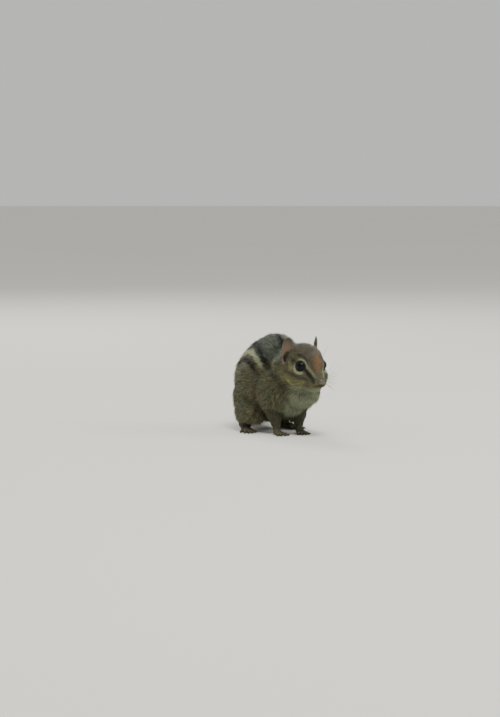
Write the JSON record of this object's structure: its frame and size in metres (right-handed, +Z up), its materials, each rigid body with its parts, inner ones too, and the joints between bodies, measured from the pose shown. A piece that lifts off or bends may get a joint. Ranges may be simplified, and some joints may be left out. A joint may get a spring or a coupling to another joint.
{
  "type": "eastern chipmunk",
  "caption": "Life-size still model of an eastern chipmunk crouched on all fours, back hunched, head forward, ears up, bushy tail laid behind on the floor.",
  "frame": {"origin": "on the floor, at the middle of the footprint of the whole animal, tail included", "axes": "+Z up; the animal faces -Y, its tail runs back towards +Y; +X is the animal's own left"},
  "size_m": [0.073, 0.173, 0.0712],
  "materials": {
    "coat": "short dense fur, grey-brown with dark and cream stripes along the back",
    "face": "very short fur, rusty on the forehead, pale stripes above and below the eye",
    "haunch": "short dense fur, rusty brown",
    "leg": "short fur, grey-buff",
    "tail": "long bushy hair, dark with pale tips",
    "ear": "thin skin with very short hair, pinkish brown inside",
    "nose": "bare moist skin, pinkish brown",
    "foot": "thinly haired skin, buff, with small dark claws",
    "eye": "glossy black-brown"
  },
  "bodies": {
    "root": {"head": "face", "nose": "nose", "ear_left": "ear", "ear_right": "ear", "eye_left": "eye", "eye_right": "eye", "neck": "coat", "torso": "coat", "thigh_left": "haunch", "thigh_right": "haunch", "hindfoot_left": "foot", "hindfoot_right": "foot", "foreleg_left": "leg", "foreleg_right": "leg", "forefoot_left": "foot", "forefoot_right": "foot", "tail": "tail"}
  },
  "joints": []
}
